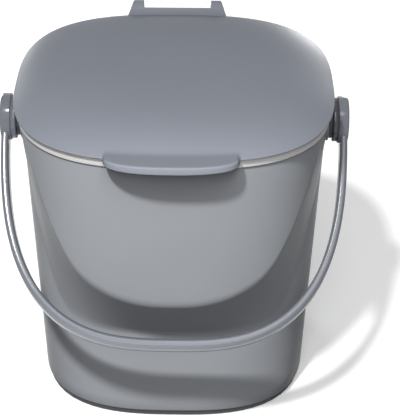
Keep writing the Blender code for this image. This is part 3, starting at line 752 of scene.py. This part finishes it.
def top_z(x, y, share):
    """The dome, or the tab's top where that is higher, with a soft bend between them."""
    dome = dome_z(share)
    inside = 1 - smooth_step((abs(x) / TAB_HALF_WIDTH) ** TAB_POWER, 0.88, 1.04)
    if inside == 0.0 or y > TAB_ROOT + TAB_BLEND_REACH:
        return dome
    out = (TAB_ROOT - y) / TAB_REACH
    tab = LID_BASE_Z + mix(TAB_ROOT_RISE, TAB_TIP_RISE, out)
    closeness = max(TAB_BEND - abs(dome - tab), 0.0) / TAB_BEND
    joined = max(dome, tab) + closeness * closeness * TAB_BEND / 4
    return mix(dome, joined, inside)


# %% One column of the lid, from the middle of the top round the edge to the middle below
TOP_SHARES = (0.03, 0.1, 0.2, 0.3, 0.4, 0.5, 0.58, 0.66, 0.73, 0.79, 0.84, 0.88, 0.905)
EDGE_SHARES = (0, 0.1, 0.2, 0.3, 0.4, 0.5, 0.6, 0.7, 0.8, 0.9, 1)
UNDER_SHARES = (0.8, 0.62, 0.42, 0.2, 0.03)
TAB_DROP = 0.0010
DOME_WALL = 0.0022
TAB_WALL = 0.0019
RIB_OUTER = 0.0099  # how far in from the lid's edge the locating rib's two sides are
RIB_INNER = 0.0115
RIB_DROP = 0.0046


def ceiling_z(share):
    """Height of the dome's underside."""
    return dome_z(share) - DOME_WALL


def lid_column(angle):
    """Points of the lid's top, edge, tab, hollow and locating rib at one angle."""
    own = lid_radius(angle)
    edge = edge_radius(angle)
    with_tab = smooth_step(edge - own, 0.0002, 0.0040)
    c, s = math.cos(angle), math.sin(angle)

    def top(radius):
        return radius, top_z(radius * c, radius * s, radius / own)

    fillet = mix(0.0004, 0.0008, with_tab)
    rows = [top(share * own) for share in TOP_SHARES]
    rows += [top(mix(0.925 * own, edge - fillet, share)) for share in EDGE_SHARES]
    floor_z = LID_BASE_Z - TAB_DROP * with_tab
    crown = max(rows[-1][1], floor_z + 0.0009)
    rows[-1] = (rows[-1][0], crown)
    for turn in (25, 50, 75, 90):
        rows.append((edge - fillet * (1 - math.sin(math.radians(turn))),
                     crown - fillet * (1 - math.cos(math.radians(turn)))))
    for turn in (0, 30, 60, 90):
        rows.append((edge - fillet * (1 - math.cos(math.radians(turn))),
                     floor_z + fillet * (1 - math.sin(math.radians(turn)))))
    wall = mix(0.0012, TAB_WALL, with_tab)
    hollow_z = mix(LID_BASE_Z, top_z(edge * c, edge * s, edge / own) - TAB_WALL, with_tab)
    rows += [(edge - wall, floor_z), (edge - wall - 0.0002, mix(floor_z, hollow_z, 0.9)),
             (mix(edge - wall - 0.0004, own + 0.0002, with_tab), hollow_z)]
    rows += [(own - 0.0018, LID_BASE_Z), (own - 0.0048, LID_BASE_Z),
             (own - 0.0053, ceiling_z(1 - 0.0048 / own))]
    rows += [(own - RIB_OUTER, ceiling_z(1 - RIB_OUTER / own)), (own - RIB_OUTER, LID_BASE_Z - RIB_DROP),
             (own - RIB_INNER, LID_BASE_Z - RIB_DROP), (own - RIB_INNER, ceiling_z(1 - RIB_INNER / own))]
    rows += [(share * own, ceiling_z(share)) for share in UNDER_SHARES]
    return [(radius * c, radius * s + MID_Y, z) for radius, z in rows]


lid_columns = [lid_column(angle) for angle in lid_angles]
lid_loops = [[column[row] for column in lid_columns] for row in range(len(lid_columns[0]))]
lid_shell = make_object("lid_shell", skin_over(lid_loops), lid_plastic)
print("lid loops", len(lid_loops))

# %% [markdown]
# ### The hinge leaf
# Behind, a raised leaf narrows towards two ears that hold the pin. It starts as one outline in the
# Y-Z plane, is extruded to both sides, gets rounded edges from a bevel, and is joined to the dome.

# %% Make the leaf and its ears
EAR_RADIUS = 0.0045
EAR_STEPS = 19
LEAF_LIFT = 0.0003
LEAF_REAR_HALF_WIDTH = 0.0272
LEAF_SPREAD = 0.0048
LEAF_ROUND = 0.0009
SLOT_HALF_WIDTH = 0.0215
SLOT_MARGIN = 0.008

slot_y = HINGE_Y - 0.0048
root_y = RIM_HALF_DEPTH - 0.0025 + MID_Y
neck_y = RIM_HALF_DEPTH + 0.0030 + MID_Y
leaf_bm = bmesh.new()
outline = [(root_y, LID_BASE_Z + LEAF_LIFT), (slot_y, LID_BASE_Z + LEAF_LIFT)]
for i in range(EAR_STEPS):
    turn = math.radians(-90 + 10 * i)
    outline.append((HINGE_Y + EAR_RADIUS * math.cos(turn), HINGE_Z + EAR_RADIUS * math.sin(turn)))
outline += [(slot_y, HINGE_Z + 0.0020), (mix(slot_y, neck_y, 0.5), HINGE_Z + 0.0014),
            (neck_y, HINGE_Z + 0.0010), (root_y, dome_z(0.944) - 0.0011)]
corners = [leaf_bm.verts.new((-1.0, y, z)) for y, z in outline]
bmesh.ops.contextual_create(leaf_bm, geom=corners)
pulled = bmesh.ops.extrude_face_region(leaf_bm, geom=leaf_bm.faces[:])["geom"]
for item in pulled:
    if isinstance(item, bmesh.types.BMVert):
        item.co.x = 1.0
rear_y = HINGE_Y + EAR_RADIUS
for vert in leaf_bm.verts:
    vert.co.x *= LEAF_REAR_HALF_WIDTH + LEAF_SPREAD * (rear_y - vert.co.y) / (rear_y - root_y)
bmesh.ops.recalc_face_normals(leaf_bm, faces=leaf_bm.faces)
side_edges = [edge for edge in leaf_bm.edges
              if abs(edge.verts[0].co.x - edge.verts[1].co.x) < 0.004
              and min(vert.co.z for vert in edge.verts) > HINGE_Z - 0.002]
bmesh.ops.bevel(leaf_bm, geom=side_edges, offset=LEAF_ROUND, segments=3, affect="EDGES", profile=0.5,
                material=-1)
leaf = make_object("leaf", leaf_bm, lid_plastic)
slot = block((-SLOT_HALF_WIDTH, slot_y, HINGE_Z - SLOT_MARGIN),
             (SLOT_HALF_WIDTH, HINGE_Y + SLOT_MARGIN, HINGE_Z + SLOT_MARGIN))
combine(leaf, slot, "DIFFERENCE")
leaf_bm = bmesh.new()
leaf_bm.from_mesh(leaf.data)
leaf_mesh = leaf.data
bpy.data.objects.remove(leaf)
bpy.data.meshes.remove(leaf_mesh)
combine(lid_shell, leaf_bm, "UNION")
combine(lid_shell, rod(-0.034, 0.034, PIN_HOLE_RADIUS, HINGE_Y, HINGE_Z, 24), "DIFFERENCE")
fit_piece(lid_shell, "lid", "lid")

# %% [markdown]
# ## Handle
# The bail is a flat strip with rounded edges, wider and thicker at the grip than at its two ends.
# Its section is a small loop that is carried along the bail's curve. A fine groove runs along one
# edge of its outer face, and the rest of that face is slightly crowned at the grip. A round pad with
# a collar is turned at each end.

# %% Carry the section along the bail
HANDLE_DROP = math.radians(44)
HANDLE_HALF_WIDTH = 0.1023
HANDLE_REACH = (RIM_HALF_DEPTH + 0.0125) / math.cos(HANDLE_DROP)
BAIL_POWER = 2.9
BAIL_STEPS = 120
NUDGE = 0.01
STRIP_THICK = (0.0042, 0.0056)  # at the two ends of the bail and at the grip, as the next two
STRIP_WIDE = (0.0140, 0.0174)
STRIP_ROUND = (0.0014, 0.0018)
GROOVE_DEPTH = 0.0005
GROOVE_WIDTH = 0.0007
GRIP_BULGE = 0.0011

pivot = Vector((0.0, MID_Y, PIVOT_Z))
along = Vector((0.0, -math.cos(HANDLE_DROP), -math.sin(HANDLE_DROP)))
strip_side = Vector((1.0, 0.0, 0.0)).cross(along)


def bail_curve(turn):
    """Middle line of the bail in its own plane."""
    c, s = math.cos(turn), math.sin(turn)
    half_width = HANDLE_HALF_WIDTH - mix(*STRIP_THICK, s) / 2
    reach = HANDLE_REACH - STRIP_THICK[1] / 2
    power = 2 / BAIL_POWER
    return math.copysign(abs(c) ** power, c) * half_width, abs(s) ** power * reach


def bail_section(turn):
    """Outward and sideways places round the strip, with rounded corners, a groove and a bulge."""
    thick = mix(*STRIP_THICK, math.sin(turn)) / 2
    wide = mix(*STRIP_WIDE, math.sin(turn)) / 2
    radius = mix(*STRIP_ROUND, math.sin(turn))
    places = []
    for corner_out, corner_side, start in ((1, 1, 0), (-1, 1, 90), (-1, -1, 180), (1, -1, 270)):
        for i in range(5):
            corner_turn = math.radians(start + 22.5 * i)
            places.append((corner_out * (thick - radius) + radius * math.cos(corner_turn),
                           corner_side * (wide - radius) + radius * math.sin(corner_turn)))
    groove = radius - wide + 0.0001
    places += [(thick - GROOVE_DEPTH, groove + 0.0001), (thick - GROOVE_DEPTH, groove + 0.0005),
               (thick, groove + GROOVE_WIDTH)]
    bulge = GRIP_BULGE * math.sin(turn) ** 2
    for share in (0.12, 0.25, 0.4, 0.6, 0.75, 0.88):
        places.append((thick + bulge * 4 * share * (1 - share),
                       mix(groove + GROOVE_WIDTH, wide - radius, share)))
    return places


bail_loops = []
for i in range(BAIL_STEPS + 1):
    turn = math.pi * i / BAIL_STEPS
    x, reach = bail_curve(turn)
    before = bail_curve(max(0.0, turn - NUDGE))
    after = bail_curve(min(math.pi, turn + NUDGE))
    way = Vector((after[0] - before[0], after[1] - before[1])).normalized()
    out_x, out_reach = way.y, -way.x
    if i in (0, BAIL_STEPS):
        out_x, out_reach = math.copysign(1.0, x), 0.0
    loop = []
    for outward, sideways in bail_section(turn):
        loop.append(pivot + Vector((x + out_x * outward, 0.0, 0.0)) + along * (reach + out_reach * outward)
                    + strip_side * sideways)
    bail_loops.append(loop)
handle_bail = make_object("handle_bail", skin_over(bail_loops), handle_plastic)

# %% Turn the pads and their collars
PAD_PROUD = 0.0006
PAD_THICKNESS = 0.0062
PAD_RADIUS = 0.0140
COLLAR_RADIUS = 0.0130
PAD_SIDES = 72
GAP = 0.0003
STUD_FLANGE = 0.0018
BORE_RADIUS = 0.0063
BORE_DEPTH = 0.0065

outer = HANDLE_HALF_WIDTH + PAD_PROUD
inner = outer - PAD_THICKNESS
collar = boss_face_x + GAP + STUD_FLANGE + GAP
pad_profile = [(collar, 0.0118), (collar + 0.0002, 0.0126), (collar + 0.0007, COLLAR_RADIUS),
               (inner - 0.0004, COLLAR_RADIUS), (inner - 0.0001, 0.0132), (inner, 0.0136),
               (inner + 0.0005, PAD_RADIUS), (outer - 0.0012, PAD_RADIUS), (outer - 0.0006, 0.01385),
               (outer - 0.0002, 0.0134), (outer, 0.0128), (outer, 0.0060)]


def turned(profile, side):
    """A shape turned about the pivots' line from (x, radius) pairs."""
    turns = [2 * math.pi * (i + 0.5) / PAD_SIDES for i in range(PAD_SIDES)]
    return skin_over([[(side * x, MID_Y + radius * math.cos(t), PIVOT_Z + radius * math.sin(t))
                       for t in turns] for x, radius in profile])


for side in (-1, 1):
    combine(handle_bail, turned(pad_profile, side), "UNION")
    bore = rod(side * (collar - CUT_SLACK), side * (collar + BORE_DEPTH), BORE_RADIUS, MID_Y, PIVOT_Z, 48)
    combine(handle_bail, bore, "DIFFERENCE")
fit_piece(handle_bail, "handle", "handle")

# %% [markdown]
# Two lamps stand low in front, where a photographer would hold cards round them to keep their light
# off the body. Here each is linked to one piece, which has the same effect: the front of the dome
# and the lip catch the one, the outside of the grip catches the other, and the chin stays dark.

# %% Keep the low lamps off the body
for lamp, piece in ((lid_lamp, lid_shell), (handle_lamp, handle_bail)):
    receivers = bpy.data.collections.new("lit_by_" + lamp.name)
    receivers.objects.link(piece)
    lamp.light_linking.receiver_collection = receivers

# %% [markdown]
# ## The small pieces
# The foot ring, the hinge pin and the pivot studs keep the frame's own shapes. They only need a better
# finish than the frame's plain colours.
# The foot ring and the studs are near-black: that is painted shade, for the shade under the bucket's edge
# and between the pads and the wall.

# %% Dress the frame's own pieces


def dress(node, material):
    """Put a finish on a piece of the frame."""
    ob = bpy.data.objects[node]
    for slot in ob.material_slots:
        slot.material = material
    print("dressed", node)


dress("foot_ring", foot_painted_shade)
dress("left_pivot_stud", stud_painted_shade)
dress("right_pivot_stud", stud_painted_shade)
dress("hinge_pin", pin_steel)
